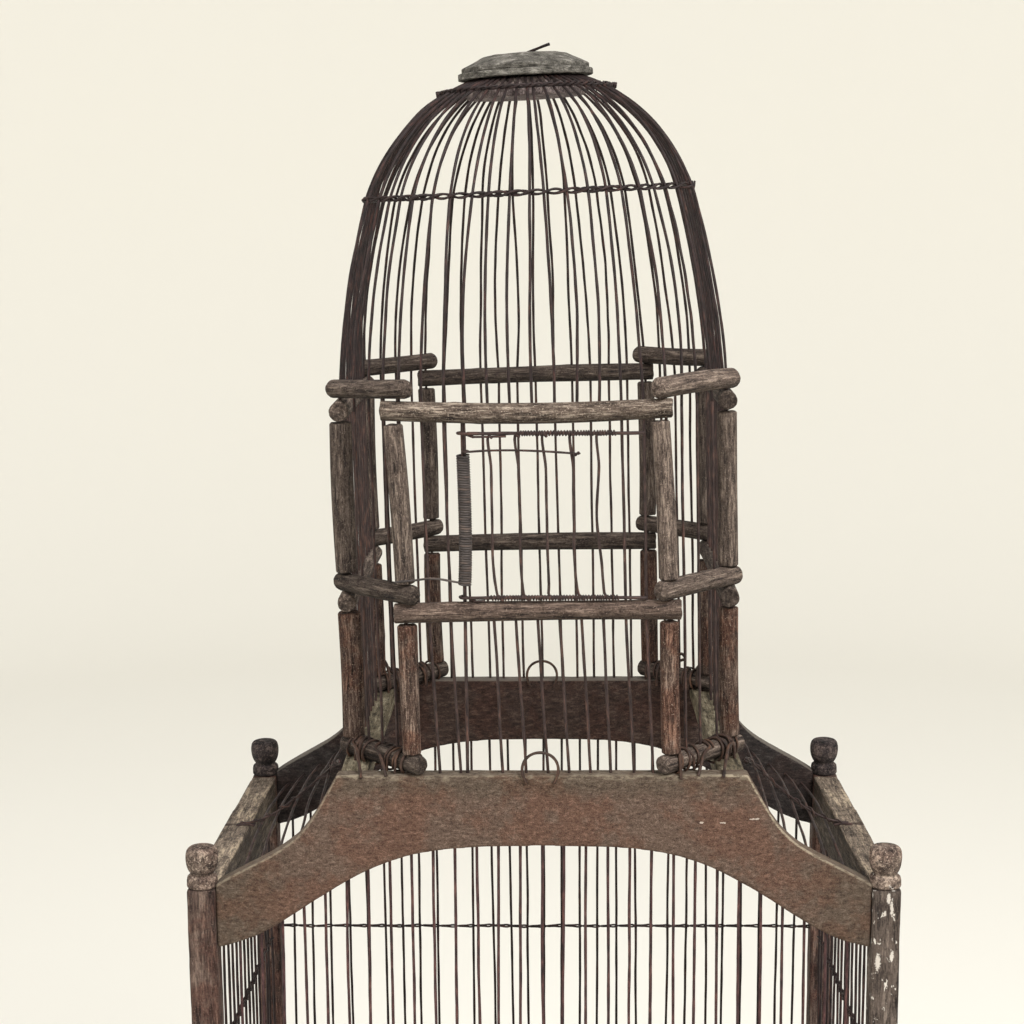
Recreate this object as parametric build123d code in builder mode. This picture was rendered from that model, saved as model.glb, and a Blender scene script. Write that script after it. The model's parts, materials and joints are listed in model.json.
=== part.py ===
"""Bird cage on a stand: a wood and wire box cage with an octagonal stick tower and a wire dome.

Millimetres. +Z is up, the front faces -Y, and the origin is on the floor under the middle.
Tower heights are measured from the top edge of the front board.
"""
from build123d import *
from math import atan2, cos, sin
import os

os.makedirs("parts", exist_ok=True)

# ---- stand ----
stand_height = 450
stand_width, stand_depth, stand_top_thickness = 510, 310, 15
leg_size, leg_spread_x, leg_spread_y = 30, 444, 244
apron_height, shelf_height = 60, 160

# ---- body of the cage ----
front_span, rear_span, depth_span = 458, 452, 256  # between corner post centres
post_size, post_top = 19, 741
board_top, board_thickness = 820, 14
side_rail_height = 40
floor_thickness, base_top, tray_top = 8, 510, 491.5
wire = 2.0
body_wire_count, side_wire_count = 29, 15
wire_inset = 5  # side wires run this far inside the post centre line
roof_spots = [(153.5, 775.5), (166.5, 759.5), (180.5, 749.5), (194, 741), (206.5, 733.5)]  # below the shoulders
roof_rise, roof_spread = 9, 2.5  # how far a roof wire bows up and outwards half way
binding_height = 611

# ---- tower, heights from the top edge of the boards ----
half_side, half_corner = 129, 86  # octagon: half width, and half the length of a long side
stick = 13
stick_lift = stick + 0.2  # a log laid across another one
base_ring, mid_ring, top_ring = 6.7, 110, 242
wires_per_side, wires_per_corner = 11, 3
lean, rise_right, rise_rear = 0.02, 0.0001, 0.00005  # the old tower leans left and forward
front_slip, front_rise = -4, 3.6  # the top front log has slipped to the left, and its left end has risen
corner_rise = (4.8, 1)  # the stick on top of that end has risen with it, front and left end

# ---- dome and cap ----
dome_height, hub_radius, cap_radius = 217.4, 40, 47
dome_waist = (0.782, 0.645)  # where the binding ring sits, as shares of a rib's reach and height
rib_hoop = (0.189, 0.968)  # where the hoop lies on a rib, in the same shares
hub_low, hub_high, cap_height = 447, 459.2, 460.5

# ---- tower door ----
hinge_foot_x, hinge_top_x, door_y = -49.4, -45.2, -132.8  # the hinge wire stands straighter than the tower
first_door_wire, door_wire_gap = -27.5, 17.6
door_bottom, door_top, door_end = 119.2, 227, 72
door_gap_end = 50  # the front wires left of this stop at the middle log
hinge_wire_size, eye_clearance = 2.4, 0.08
spring_low, spring_high, spring_radius = 128, 216.1, 4.5


def at_tower(x, y, height):
    """Point of the leaning tower, from its upright coordinates."""
    return Vector(x - lean * height, y, board_top + height * (1 + rise_right * x + rise_rear * y))


def tower_plane(height, x=0, y=0):
    """Plane across the tower at one height, with its normal along the tower."""
    here = at_tower(x, y, height)
    across = at_tower(x + 1, y, height) - here
    back = at_tower(x, y + 1, height) - here
    return Plane(origin=here, x_dir=across, z_dir=across.cross(back))


def on_hinge(height):
    """Point of the hinge wire at one tower height."""
    share = (height + 8) / (top_ring + 8)
    return at_tower(hinge_foot_x + (hinge_top_x - hinge_foot_x) * share, -half_side, height)


def hinge_plane(height):
    """Plane across the hinge wire."""
    return Plane(origin=on_hinge(height), x_dir=(1, 0, 0), z_dir=on_hinge(top_ring) - on_hinge(-8))


def post_x(y):
    """Half the distance between the post centre lines, which close up a little to the rear."""
    return (front_span + (rear_span - front_span) * (y / depth_span + 0.5)) / 2


def rod(start, end, diameter):
    """Straight round bar between two points."""
    axis = Vector(end) - Vector(start)
    with BuildSketch(Plane(origin=start, z_dir=axis)) as section:
        Circle(diameter / 2)
    extrude(section.sketch, amount=axis.length, clean=False)


def bent_wire(points, diameter, closed=False):
    """Round wire that runs smoothly through the points."""
    with BuildLine() as path:
        Spline(points, periodic=closed)
    follow(path.line, diameter)


def follow(line, diameter):
    """Round wire along a line."""
    with BuildSketch(Plane(origin=line @ 0, z_dir=line % 0)) as section:
        Circle(diameter / 2)
    sweep(section.sketch, path=line, clean=False)


def block(x_range, y_range, z_range, mode=Mode.ADD):
    """Square-cut piece between two corners."""
    (x0, x1), (y0, y1), (z0, z1) = x_range, y_range, z_range
    with BuildSketch(Plane.XY.offset(z0)) as section:
        with Locations(((x0 + x1) / 2, (y0 + y1) / 2)):
            Rectangle(x1 - x0, y1 - y0)
    extrude(section.sketch, amount=z1 - z0, mode=mode)


def side_strip(side, outer, inner, z0, z1):
    """Piece between a front and a rear corner post; outer and inner count from the post line."""
    end = (depth_span - post_size) / 2
    with BuildSketch(Plane.XY.offset(z0)) as section:
        with BuildLine():
            Polyline(
                *[(side * (post_x(y) + edge), y)
                  for y, edge in ((-end, outer), (end, outer), (end, inner), (-end, inner))],
                close=True,
            )
        make_face()
    extrude(section.sketch, amount=z1 - z0)


def shaped_board(y_front, length):
    """Board with concave shoulders and an arched underside."""
    end = length / 2
    with BuildSketch(Plane.XZ.offset(-y_front)) as outline:
        with BuildLine():
            top = Line((0, board_top), (136, board_top))
            shoulder = Spline(top @ 1, (146, 802), (162, 779), (190, 760), (end, 744))
            tip = Line(shoulder @ 1, (end, 700))
            arch = Spline(tip @ 1, (190, 709.5), (163, 726), (128, 748), (93, 763), (45, 770), (0, 771))
            Line(arch @ 1, top @ 0)
        make_face()
        mirror(about=Plane.YZ)
    extrude(outline.sketch, amount=-board_thickness)


def arch_height(x):
    """Height of the boards' arched underside at a distance from the middle."""
    knots = [(0, 771), (45, 770), (93, 763), (128, 748), (163, 726), (190, 709.5), (230, 697)]
    for (x0, z0), (x1, z1) in zip(knots, knots[1:]):
        if abs(x) <= x1:
            return z0 + (z1 - z0) * (abs(x) - x0) / (x1 - x0)


def turned(spot, radius_at):
    """Turned piece on a vertical axis, from a list of radii and heights."""
    x, y = spot
    with BuildSketch(Plane.XZ.offset(-y)) as profile:
        with BuildLine():
            Polyline((x, radius_at[0][1]), *[(x + r, z) for r, z in radius_at], (x, radius_at[-1][1]), close=True)
        make_face()
    revolve(profile.sketch, axis=Axis((x, y, 0), (0, 0, 1)))


def log(start, end, height, rise=(0, 0)):
    """Round stick of the tower between two points of one ring; rise lifts its two ends."""
    rod(at_tower(*start, height + rise[0]), at_tower(*end, height + rise[1]), stick)


def diagonals(height, front_left_rise=(0, 0)):
    """Four sticks across the corners of a ring, laid on the ends of the other logs."""
    for sx in (-1, 1):
        for sy in (-1, 1):
            over = 7
            rise = front_left_rise if sx < 0 and sy < 0 else (0, 0)
            log((sx * (half_corner - over), sy * (half_side + over)),
                (sx * (half_side + over), sy * (half_corner - over)), height, rise)


def save(part, name):
    part.label = name
    export_step(part, f"parts/{name}.step")


# Where the wires and posts stand on the octagon, counted from one long side and turned round.
side_xs = [half_corner * (2 * k / (wires_per_side + 1) - 1) for k in range(1, wires_per_side + 1)]
corner_steps = [k / (wires_per_corner + 1) for k in range(1, wires_per_corner + 1)]
corner_cut = half_side - half_corner
quarter_turns = [(1, 0), (0, 1), (-1, 0), (0, -1)]


def turned_spots(spots):
    """The same spots on all four sides."""
    return [(x * c - y * s, x * s + y * c) for c, s in quarter_turns for x, y in spots]


long_spots = turned_spots([(x, -half_side) for x in side_xs])
corner_spots = turned_spots([(half_corner + corner_cut * t, -half_side + corner_cut * t) for t in corner_steps])
post_spots = turned_spots([(-half_corner, -half_side), (half_corner, -half_side)])
all_spots = long_spots + corner_spots + post_spots


def rib_point(spot, out, up, outward=0):
    """Point on the dome rib that starts at a spot; out and up are shares of its reach and height."""
    x, y = spot
    angle = atan2(y, x)
    hub_share = hub_radius * (1 - out) + outward
    return at_tower(x * out + hub_share * cos(angle), y * out + hub_share * sin(angle), top_ring + dome_height * up)


# ======================= stand =======================
with BuildPart() as stand_top:
    block((-stand_width / 2, stand_width / 2), (-stand_depth / 2, stand_depth / 2),
          (stand_height - stand_top_thickness, stand_height))
    fillet(stand_top.edges().filter_by(Axis.Z), radius=12)
    chamfer(stand_top.faces().sort_by(Axis.Z)[-1].edges(), length=2)
save(stand_top.part, "stand_top")

apron_top = stand_height - stand_top_thickness
with BuildPart() as stand_legs:
    for sx in (-1, 1):
        for sy in (-1, 1):
            with BuildSketch(Plane.XY) as foot:
                with Locations((sx * leg_spread_x / 2, sy * leg_spread_y / 2)):
                    Rectangle(leg_size - 8, leg_size - 8)
            with BuildSketch(Plane.XY.offset(shelf_height - 30)) as knee:
                with Locations((sx * leg_spread_x / 2, sy * leg_spread_y / 2)):
                    Rectangle(leg_size, leg_size)
            loft([foot.sketch.face(), knee.sketch.face()])
            extrude(knee.sketch, amount=apron_top - shelf_height + 30)
save(stand_legs.part, "stand_legs")

with BuildPart() as stand_rails:
    for z0, z1 in ((apron_top - apron_height, apron_top), (shelf_height - 30, shelf_height)):
        for side in (-1, 1):
            x, y = leg_spread_x / 2 - leg_size / 2, leg_spread_y / 2 - leg_size / 2
            across = sorted((side * leg_spread_y / 2 - 8, side * leg_spread_y / 2 + 8))
            along = sorted((side * leg_spread_x / 2 - 8, side * leg_spread_x / 2 + 8))
            block((-x, x), across, (z0, z1))
            block(along, (-y, y), (z0, z1))
save(stand_rails.part, "stand_rails")

with BuildPart() as shelf_slats:
    for k in range(4):
        y = (k - 1.5) * 52
        block((-leg_spread_x / 2 - 8, leg_spread_x / 2 + 8), (y - 22, y + 22), (shelf_height, shelf_height + 9))
save(shelf_slats.part, "shelf_slats")

# ======================= cage body =======================
finial_profile = [(9.2, 0), (9.4, 3), (9.2, 6), (7.6, 7.2), (9, 10), (10.4, 15), (10.6, 20), (9.6, 25), (6, 28)]
corners = {
    f"{depth}_{side}": (sx * post_x(sy * depth_span / 2), sy * depth_span / 2)
    for depth, sy in (("front", -1), ("rear", 1))
    for side, sx in (("left", -1), ("right", 1))
}
half_post = post_size / 2
for place, (x, y) in corners.items():
    with BuildPart() as corner_post:
        block((x - half_post, x + half_post), (y - half_post, y + half_post), (stand_height, post_top))
        chamfer(corner_post.edges().filter_by(Axis.Z), length=0.8)
    save(corner_post.part, f"corner_post_{place}")
    with BuildPart() as finial:
        turned((x, y), [(r, post_top + z) for r, z in finial_profile])
    save(finial.part, f"finial_{place}")

board_y = depth_span / 2
with BuildPart() as front_board:
    shaped_board(-board_y - board_thickness / 2, front_span - post_size)
save(front_board.part, "front_board")
with BuildPart() as rear_board:
    shaped_board(board_y - board_thickness / 2, rear_span - post_size)
save(rear_board.part, "rear_board")

for name, side in (("left", -1), ("right", 1)):
    with BuildPart() as side_rail:
        side_strip(side, half_post, -half_post, post_top - side_rail_height, post_top)
    save(side_rail.part, f"side_rail_{name}")
    with BuildPart() as tower_sill:
        block(sorted((side * (half_side - 12), side * (half_side + 6))),
              (-board_y + board_thickness / 2, board_y - board_thickness / 2), (board_top - 14, board_top))
    save(tower_sill.part, f"tower_sill_{name}")

floor_top = stand_height + floor_thickness
with BuildPart() as floor_board:
    block((-rear_span / 2 + 11, rear_span / 2 - 11), (-120.8, 120.8), (stand_height, floor_top))
save(floor_board.part, "floor_board")
with BuildPart() as base_rail_front:
    block((-front_span / 2 + half_post, front_span / 2 - half_post), (-board_y - 7, -board_y + 7), (492, base_top))
save(base_rail_front.part, "base_rail_front")
with BuildPart() as base_rail_rear:
    block((-rear_span / 2 + half_post, rear_span / 2 - half_post), (board_y - 7, board_y + 7),
          (stand_height, base_top))
save(base_rail_rear.part, "base_rail_rear")
with BuildPart() as base_rails_side:
    for side in (-1, 1):
        side_strip(side, -3, -17, floor_top, base_top)
save(base_rails_side.part, "base_rails_side")

# Pull-out tray under the wires, with its own front strip and knob.
tray_low = floor_top + 0.5
with BuildPart() as tray:
    block((-206, 206), (-121.5, 117), (tray_low, tray_top - 10))
    block((-200, 200), (-121.5, 111), (tray_low + 4, tray_top), mode=Mode.SUBTRACT)
    block((-218, 218), (-board_y - 7, -board_y + 7), (tray_low, tray_top))
save(tray.part, "tray")
with BuildPart() as tray_knob:
    with BuildSketch(Plane.XY.offset((tray_low + tray_top) / 2)) as profile:
        with BuildLine():
            Polyline((0, -135), (5, -135), (4, -139), (8, -142), (8.5, -145), (6, -148), (0, -149), close=True)
        make_face()
    revolve(profile.sketch, axis=Axis((0, 0, (tray_low + tray_top) / 2), (0, 1, 0)))
save(tray_knob.part, "tray_knob")

# ======================= body wires =======================
half_run = front_span / 2 - post_size / 2
board_xs = [half_run * (2 * k / (body_wire_count + 1) - 1) for k in range(1, body_wire_count + 1)]
side_ys = [(board_y - 10) * (2 * k / (side_wire_count + 1) - 1) for k in range(1, side_wire_count + 1)]

for name, y in (("front", -board_y), ("rear", board_y)):
    with BuildPart() as body_wires:
        for x in board_xs:
            rod((x, y, base_top - 8), (x, y, arch_height(x) + 8), wire)
    save(body_wires.part, f"body_wires_{name}")

with BuildPart() as side_wires:
    for side in (-1, 1):
        for y in side_ys:
            x = side * (post_x(y) - wire_inset)
            rod((x, y, base_top - 8), (x, y, post_top - side_rail_height + 8), wire)
save(side_wires.part, "side_wires")

# Roof wires over the shoulders, from board to board, bowed up in the middle.
with BuildPart() as roof_wires:
    for side in (-1, 1):
        for x, z in roof_spots:
            end = board_y - 1
            with BuildLine() as path:
                ThreePointArc((side * x, -end, z), (side * (x + roof_spread), 0, z + roof_rise), (side * x, end, z))
            follow(path.line, wire)
save(roof_wires.part, "roof_wires")

binding = 1.6
off = wire / 2 + binding / 2 + 0.1
with BuildPart() as panel_bindings:
    rod((-half_run + 0.5, -board_y + off, binding_height), (half_run - 0.5, -board_y + off, binding_height), binding)
    rod((-half_run + 4, board_y - off, binding_height), (half_run - 4, board_y - off, binding_height), binding)
    for side in (-1, 1):
        ends = [(side * (post_x(y) - wire_inset - off), y, binding_height) for y in (-117, 117)]
        rod(*ends, binding)
save(panel_bindings.part, "panel_bindings")

# One tie a side, from half way along the rail over the roof wires to the front corner of the tower.
tie_path = [(226, 0, 742), (209.5, 0, 745), (183.8, 0, 760.8), (157.5, -14, 786.8), (145, -55, 806), (138, -100, 819)]
with BuildPart() as shoulder_ties:
    for side in (-1, 1):
        bent_wire([(side * x, y, z) for x, y, z in tie_path], binding)
save(shoulder_ties.part, "shoulder_ties")

# Wire loops standing up at the middle of the front and rear boards.
loop_radius = 12
with BuildPart() as board_loops:
    for y in (-board_y - 8, board_y - 8):
        with BuildLine(Plane.XZ.offset(-y)) as ring:
            CenterArc((-1, board_top + 4), loop_radius, -48, 276)
        follow(ring.line, wire)
save(board_loops.part, "board_loops")

# ======================= tower sticks =======================
for level, height in (("mid", mid_ring), ("top", top_ring)):
    slip = front_slip if level == "top" else 0
    ends = {
        "front": ((slip - 94, -half_side), (slip + 94, -half_side)),
        "rear": ((-92, half_side), (92, half_side)),
        "left": ((-half_side, -95), (-half_side, 95)),
        "right": ((half_side, -95), (half_side, 95)),
    }
    for side, (start, end) in ends.items():
        rise = (front_rise, 0) if (level, side) == ("top", "front") else (0, 0)
        with BuildPart() as ring_log:
            log(start, end, height, rise)
        save(ring_log.part, f"{level}_log_{side}")

for level, height in (("base", base_ring), ("mid", mid_ring + stick_lift), ("top", top_ring + stick_lift)):
    with BuildPart() as corner_logs:
        diagonals(height, corner_rise if level == "top" else (0, 0))
    save(corner_logs.part, f"{level}_diagonals")

reach = stick / 2
with BuildPart() as lower_posts:
    for x, y in post_spots:
        rod(at_tower(x, y, base_ring + reach + 0.5), at_tower(x, y, mid_ring - reach - 1.3), stick)
save(lower_posts.part, "lower_posts")
with BuildPart() as upper_posts:
    for x, y in post_spots:
        slip = front_slip if y < -half_corner - 1 else 0
        rise = front_rise * 0.7 if slip and x < 0 else 0
        rod(at_tower(x, y, mid_ring + stick_lift + reach + 0.8),
            at_tower(x + slip, y, top_ring - reach - 1.5 + rise), stick)
save(upper_posts.part, "upper_posts")

# ======================= tower wires =======================
hinge_spot = side_xs[2]  # the hinge wire stands here instead of a thin one
door_gap = [x for x in side_xs if hinge_spot < x < door_gap_end]
with BuildPart() as tower_wires:
    for x, y in long_spots:
        if y == -half_side and x == hinge_spot:
            continue
        over_door = y == -half_side and x in door_gap
        rod(at_tower(x, y, -8), at_tower(x, y, mid_ring if over_door else top_ring), wire)
    for x, y in corner_spots:
        rod(at_tower(x, y, base_ring), at_tower(x, y, top_ring), wire)
save(tower_wires.part, "tower_wires")

with BuildPart() as corner_wires:
    for x, y in post_spots:
        rod(at_tower(x, y, -8), at_tower(x, y, top_ring), wire)
save(corner_wires.part, "corner_wires")

with BuildPart() as hinge_wire:
    rod(on_hinge(-8), on_hinge(top_ring), hinge_wire_size)
save(hinge_wire.part, "hinge_wire")

# ======================= dome =======================
for name, shares in (("lower", ((1, 0), (0.9315, 0.3425), dome_waist)), ("upper", (dome_waist, (0.44, 0.882), (0, 1)))):
    with BuildPart() as dome_ribs:
        for spot in all_spots:
            with BuildLine() as path:
                ThreePointArc(*[rib_point(spot, out, up) for out, up in shares])
            follow(path.line, wire)
    save(dome_ribs.part, f"dome_ribs_{name}")

with BuildPart() as dome_ring:
    around = sorted(all_spots, key=lambda spot: atan2(spot[1], spot[0]))[::4]
    bent_wire([rib_point(spot, *dome_waist, outward=2.5) for spot in around], 2.6, closed=True)
save(dome_ring.part, "dome_ring")

with BuildPart() as hub_hoop:
    bent_wire([rib_point(spot, *rib_hoop, outward=2.2) for spot in around], 2.6, closed=True)
save(hub_hoop.part, "hub_hoop")

with BuildPart() as hub:
    with BuildSketch(tower_plane(hub_low)) as disc:
        Circle(hub_radius + 1.5)
    extrude(disc.sketch, amount=hub_high - hub_low)
save(hub.part, "hub")
cap_plane, cap_base_thickness, cap_edge, cap_slope = tower_plane(cap_height), 4.6, 3.6, 7.6
with BuildPart() as cap_base:
    with BuildSketch(cap_plane) as disc:
        Circle(cap_radius)
    extrude(disc.sketch, amount=cap_base_thickness)
save(cap_base.part, "cap_base")
with BuildPart() as cap_top:
    with BuildSketch(cap_plane.offset(cap_base_thickness)) as edge:
        RegularPolygon(44.5, 8)
    extrude(edge.sketch, amount=cap_edge)
    with BuildSketch(cap_plane.offset(cap_base_thickness + cap_edge)) as low_face:
        RegularPolygon(44.5, 8)
    with BuildSketch(cap_plane.offset(cap_base_thickness + cap_edge + cap_slope)) as high_face:
        RegularPolygon(29, 8)
    loft([low_face.sketch.face(), high_face.sketch.face()])
save(cap_top.part, "cap_top")
with BuildPart() as cap_wire:
    rod(at_tower(-9, 2, cap_height + 14), at_tower(17, -8, cap_height + 21.5), wire)
save(cap_wire.part, "cap_wire")

# Rusty wire staples that hold the base diagonals down on the boards and the sills.
with BuildPart() as lashings:
    for x, y in post_spots:
        along = Vector(corner_cut * (1 if abs(x) < half_side - 1 else -1) * (1 if x > 0 else -1),
                       corner_cut * (1 if abs(x) > half_side - 1 else -1) * (1 if y > 0 else -1), 0).normalized()
        middle = at_tower(x, y, base_ring) + along * 12
        side = Vector(-along.Y, along.X, 0)
        bent_wire([middle + side * across + Vector(0, 0, up)
                   for across, up in ((-8, -12), (-7.6, 3), (0, 7.6), (7.6, 3), (8, -12))], 1.4)
save(lashings.part, "lashings")

# ======================= spring door =======================
def door_eye(height):
    """Eye of a door bar round the hinge wire."""
    with BuildSketch(hinge_plane(height - 1.2)) as eye:
        Circle(3.6)
        Circle(hinge_wire_size / 2 + eye_clearance, mode=Mode.SUBTRACT)
    extrude(eye.sketch, amount=2.4)


with BuildPart() as door_bars:
    for height in (door_bottom, door_top):
        door_eye(height)
        rod((on_hinge(height).X - 4, door_y, on_hinge(height).Z), at_tower(door_end, door_y, height), 2.4)
save(door_bars.part, "door_bars")

with BuildPart() as door_wires:
    for k in range(5):
        x = first_door_wire + door_wire_gap * k
        rod(at_tower(x, door_y, door_bottom - 0.6), at_tower(x, door_y, door_top + 0.6), 1.9)
save(door_wires.part, "door_wires")

with BuildPart() as door_spring:
    with BuildSketch(hinge_plane(spring_low)) as coil:
        Circle(spring_radius)
        Circle(spring_radius - 1.5, mode=Mode.SUBTRACT)
    extrude(coil.sketch, amount=(on_hinge(spring_high) - on_hinge(spring_low)).length)
    rod(on_hinge(spring_low + 0.8) - (0, 3.7, 0), at_tower(-half_corner - 6, -137.4, spring_low + 5), 1.5)
save(door_spring.part, "door_spring")

with BuildPart() as spring_arm:
    arm_height = spring_high + 1.6
    with BuildSketch(hinge_plane(arm_height - 0.7)) as turn:
        Circle(spring_radius)
        Circle(spring_radius - 1.5, mode=Mode.SUBTRACT)
    extrude(turn.sketch, amount=1.4)
    rod(on_hinge(arm_height) - (0, 3.7, 0), at_tower(29.5, door_y - 2, arm_height - 3), 1.5)
save(spring_arm.part, "spring_arm")
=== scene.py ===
"""Looks of the old wood and wire bird cage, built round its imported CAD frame.

Metres, with millimetre sizes written as n * MM. +Z is up, the front faces -Y.
Every wire and stick is read from the CAD node that it stands for, so it lies where the frame says.
"""
import json
from math import atan2, cos, pi, radians, sin

import bpy
import numpy as np
from mathutils import Matrix, Vector, noise
from numpy.linalg import norm


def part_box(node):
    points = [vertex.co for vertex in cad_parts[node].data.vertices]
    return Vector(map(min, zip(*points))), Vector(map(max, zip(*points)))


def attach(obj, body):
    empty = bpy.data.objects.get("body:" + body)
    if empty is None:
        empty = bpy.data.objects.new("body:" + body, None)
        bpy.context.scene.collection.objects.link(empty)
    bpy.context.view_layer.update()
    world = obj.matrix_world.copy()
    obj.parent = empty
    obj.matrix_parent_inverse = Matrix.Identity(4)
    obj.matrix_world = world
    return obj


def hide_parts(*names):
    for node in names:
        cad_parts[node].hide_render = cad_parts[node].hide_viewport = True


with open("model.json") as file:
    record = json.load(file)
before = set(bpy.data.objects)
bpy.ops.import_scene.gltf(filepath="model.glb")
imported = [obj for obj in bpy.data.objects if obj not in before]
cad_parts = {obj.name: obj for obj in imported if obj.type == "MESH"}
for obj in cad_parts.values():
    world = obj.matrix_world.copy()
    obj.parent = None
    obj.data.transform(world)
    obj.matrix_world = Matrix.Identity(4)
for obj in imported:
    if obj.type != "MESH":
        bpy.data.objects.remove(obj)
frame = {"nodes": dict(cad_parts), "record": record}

MM = 0.001
scene = bpy.context.scene
STICK, WIRE, HINGE_WIRE = 13 * MM, 2 * MM, 2.4 * MM
UP, RIGHT, FRONT = np.array((0.0, 0.0, 1.0)), np.array((1.0, 0.0, 0.0)), np.array((0.0, -1.0, 0.0))
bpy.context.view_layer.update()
board_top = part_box("front_board")[1].z
nodes, record = frame["nodes"], frame["record"]
body_of = {node: body for body, members in record["behaviour"]["bodies"].items() for node in members}
rng = np.random.default_rng(11)


# ======================= reading the frame =======================
def vertices(name):
    mesh = nodes[name].data
    co = np.empty(len(mesh.vertices) * 3, np.float32)
    mesh.vertices.foreach_get("co", co)
    return co.reshape(-1, 3).astype(float)


def solids(name):
    """Points of each separate solid of a CAD node."""
    mesh = nodes[name].data
    points, index = np.unique(np.round(vertices(name), 6), axis=0, return_inverse=True)
    edges = np.empty(len(mesh.edges) * 2, np.int32)
    mesh.edges.foreach_get("vertices", edges)
    edges = index.ravel()[edges].reshape(-1, 2)
    label = np.arange(len(points))
    while True:
        low = np.minimum(label[edges[:, 0]], label[edges[:, 1]])
        fresh = label.copy()
        np.minimum.at(fresh, edges[:, 0], low)
        np.minimum.at(fresh, edges[:, 1], low)
        fresh = fresh[fresh]
        if (fresh == label).all():
            return [points[label == k] for k in np.unique(label)]
        label = fresh


def centreline(cloud, width):
    """Middle line of a round bar or bent wire, from the rings of its mesh. It runs upward, or to the right."""
    far = cloud[norm(cloud - cloud.mean(0), axis=1).argmax()]
    other = cloud[norm(cloud - far, axis=1).argmax()]
    ring = int((norm(cloud - far, axis=1) < 1.2 * width).sum())
    order = np.argsort((cloud - far) @ (other - far))
    whole = len(order) // ring * ring
    line = cloud[order][:whole].reshape(-1, ring, 3).mean(1)
    level, rise = 0.1 * MM, line[-1][2] - line[0][2]
    forward = rise > level or abs(rise) <= level and line[-1].sum() > line[0].sum()
    return line if forward else line[::-1]


def lines(name, width):
    return [centreline(cloud, width) for cloud in solids(name)]


def resample(line, step):
    """The same path with points at even steps, smoothly joined."""
    line = np.asarray(line, float)
    along = np.r_[0, np.cumsum(norm(np.diff(line, axis=0), axis=1))]
    count = max(3, int(round(along[-1] / step)) + 1)
    even = np.linspace(0, along[-1], count)
    if len(line) < 4:
        return np.stack([np.interp(even, along, line[:, k]) for k in range(3)], 1)
    # Cubic Hermite through the points, with Catmull-Rom slopes.
    slope = np.gradient(line, along, axis=0)
    cell = np.clip(np.searchsorted(along, even, side="right") - 1, 0, len(line) - 2)
    gap = (along[cell + 1] - along[cell])[:, None]
    t = (even - along[cell])[:, None] / gap
    a, b, sa, sb = line[cell], line[cell + 1], slope[cell] * gap, slope[cell + 1] * gap
    return (a * (2 * t**3 - 3 * t**2 + 1) + sa * (t**3 - 2 * t**2 + t)
            + b * (3 * t**2 - 2 * t**3) + sb * (t**3 - t**2))


def unit(v):
    v = np.asarray(v, float)
    return v / max(norm(v), 1e-12)


def around(turn, across, up):
    """Points of a unit circle in the plane of two directions."""
    turn = np.asarray(turn)[..., None]
    return np.cos(turn) * across + np.sin(turn) * up


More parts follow.
